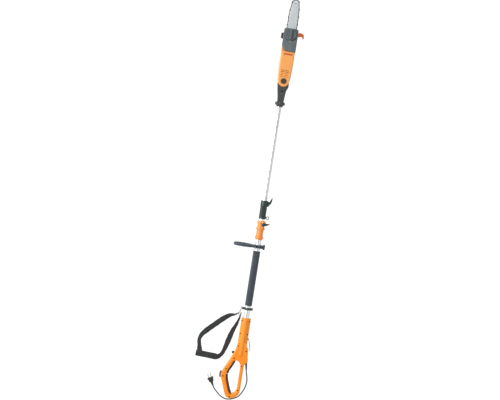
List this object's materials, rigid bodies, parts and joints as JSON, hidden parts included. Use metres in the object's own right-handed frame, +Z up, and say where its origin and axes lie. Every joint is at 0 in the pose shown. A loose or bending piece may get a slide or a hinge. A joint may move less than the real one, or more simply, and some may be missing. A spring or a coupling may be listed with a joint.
{
  "type": "telescoping pole saw",
  "caption": "Electric pole saw: tilting chain-saw head on a three-tube telescoping pole, lever clamps, loop handle, foam grip, rear D-handle, shoulder strap, short mains lead.",
  "frame": {"origin": "middle of the flat sole under the motor housing, directly below the pole's axis", "axes": "+Y along the pole towards the saw tip, +X to the right seen from above with the tip ahead, +Z up from the surface the saw lies on"},
  "size_m": [0.2986, 2.0388, 0.1159],
  "materials": {
    "steel": "satin ground steel",
    "dark_steel": "oiled dark steel",
    "aluminium": "anodised, satin",
    "orange": "moulded glass-filled plastic, fine grain",
    "slate": "moulded plastic, satin",
    "black": "moulded plastic, fine grain",
    "rubber": "soft matt rubber",
    "foam": "closed-cell foam, matt",
    "webbing": "woven polypropylene webbing"
  },
  "bodies": {
    "rear_pole": {"outer_tube": "aluminium", "lower_clamp": "orange", "lower_lever_pin": "steel", "foam_grip": "foam", "strap_clamp": "black", "strap_clamp_bolt": "steel", "snap_hook": "steel", "strap_upper": "webbing", "strap_lower": "webbing", "shoulder_pad": "webbing", "strap_slider": "black", "handle_shell_upper": "orange", "handle_shell_lower": "orange", "trigger_pin": "steel", "power_switch": "black", "soft_grip": "rubber", "elbow_pad": "rubber", "cord_hook": "orange", "strain_relief": "rubber", "mains_cord": "rubber", "plug_body": "rubber", "plug_pin_left": "steel", "plug_pin_right": "steel", "internal_lead": "black"},
    "middle_pole": {"middle_tube": "aluminium", "upper_clamp": "black", "upper_lever_pin": "steel", "hanging_eye": "black"},
    "front_pole": {"inner_tube": "aluminium", "neck": "black"},
    "head": {"motor_housing_lower": "orange", "motor_housing_upper": "orange", "guide_bar": "steel", "saw_chain": "dark_steel", "nose_rivet": "dark_steel", "side_cover": "slate", "bar_stud": "steel", "motor_can": "dark_steel", "output_bearing": "steel", "oil_tank": "black", "branch_hook": "orange", "pivot_bolt": "steel", "pivot_nut": "steel", "pivot_cap": "black"},
    "collar": {"neck_collar": "black"},
    "tilt_latch": {"tilt_release": "slate"},
    "drive": {"drive_sprocket": "steel", "output_shaft": "steel", "crown_gear": "steel"},
    "rotor": {"motor_pinion": "steel"},
    "nose_wheel": {"nose_sprocket": "steel"},
    "bar_knob": {"cover_knob": "slate"},
    "oil_filler": {"oil_cap": "black"},
    "upper_lock": {"upper_lever": "black"},
    "lower_lock": {"lower_lever": "black"},
    "loop": {"loop_bracket": "black", "loop_handle": "black"},
    "loop_lock": {"loop_knob": "black"},
    "trigger": {"trigger": "black"},
    "lock_off": {"lock_off_button": "black"}
  },
  "joints": [
    {"name": "middle_slide", "type": "slide", "parent": "rear_pole", "child": "middle_pole", "axis": [0, 1, 0], "range_m": [0, 0.42], "deforming": ["internal_lead"]},
    {"name": "inner_slide", "type": "slide", "parent": "middle_pole", "child": "front_pole", "axis": [0, 1, 0], "range_m": [-0.45, 0], "deforming": ["internal_lead"]},
    {"name": "head_tilt", "type": "hinge", "parent": "front_pole", "child": "head", "pos_m": [0, -0.074, 0.058], "axis": [0, 0, 1], "range_deg": [-30, 0]},
    {"name": "collar_turn", "type": "hinge", "parent": "front_pole", "child": "collar", "pos_m": [0, -0.19, 0.058], "axis": [0, 1, 0], "range_deg": [0, 120]},
    {"name": "tilt_release_slide", "type": "slide", "parent": "front_pole", "child": "tilt_latch", "axis": [0, 1, 0], "range_m": [0, 0.005], "stiffness_N_per_m": 600, "springref_m": -0.002},
    {"name": "drive_spin", "type": "hinge", "parent": "head", "child": "drive", "pos_m": [0, 0.1, 0.058], "axis": [0, 0, 1], "continuous": true},
    {"name": "rotor_spin", "type": "hinge", "parent": "head", "child": "rotor", "pos_m": [0, 0.06, 0.0447], "axis": [0, 1, 0], "continuous": true},
    {"name": "nose_spin", "type": "hinge", "parent": "head", "child": "nose_wheel", "pos_m": [0, 0.318, 0.078], "axis": [0, 0, 1], "continuous": true},
    {"name": "bar_knob_turn", "type": "hinge", "parent": "head", "child": "bar_knob", "pos_m": [0, 0.157, 0.098], "axis": [0, 0, 1], "continuous": true},
    {"name": "oil_cap_turn", "type": "hinge", "parent": "head", "child": "oil_filler", "pos_m": [-0.04, 0.156, 0.052], "axis": [-1, 0, 0], "range_deg": [0, 90]},
    {"name": "upper_lock_swing", "type": "hinge", "parent": "middle_pole", "child": "upper_lock", "pos_m": [0.0221, -0.693, 0.058], "axis": [0, 0, 1], "range_deg": [-75, 0]},
    {"name": "lower_lock_swing", "type": "hinge", "parent": "rear_pole", "child": "lower_lock", "pos_m": [0.006, -0.796, 0.0797], "axis": [0, 1, 0], "range_deg": [-80, 0]},
    {"name": "loop_turn", "type": "hinge", "parent": "rear_pole", "child": "loop", "pos_m": [0, -0.907, 0.058], "axis": [0, 1, 0], "range_deg": [-90, 90]},
    {"name": "loop_knob_turn", "type": "hinge", "parent": "loop", "child": "loop_lock", "pos_m": [0.03, -0.907, 0.058], "axis": [1, 0, 0], "continuous": true},
    {"name": "trigger_pull", "type": "hinge", "parent": "rear_pole", "child": "trigger", "pos_m": [-0.031, -1.479, 0.058], "axis": [0, 0, 1], "range_deg": [-6, 0], "stiffness_Nm_per_rad": 1.5, "springref_deg": 8.59},
    {"name": "lock_off_press", "type": "slide", "parent": "rear_pole", "child": "lock_off", "axis": [1, 0, 0], "range_m": [0, 0.004], "stiffness_N_per_m": 500, "springref_m": -0.002}
  ],
  "couplings": [
    {"joint": "rotor_spin", "follows": "drive_spin", "ratio": 4},
    {"joint": "nose_spin", "follows": "drive_spin", "ratio": 1}
  ]
}
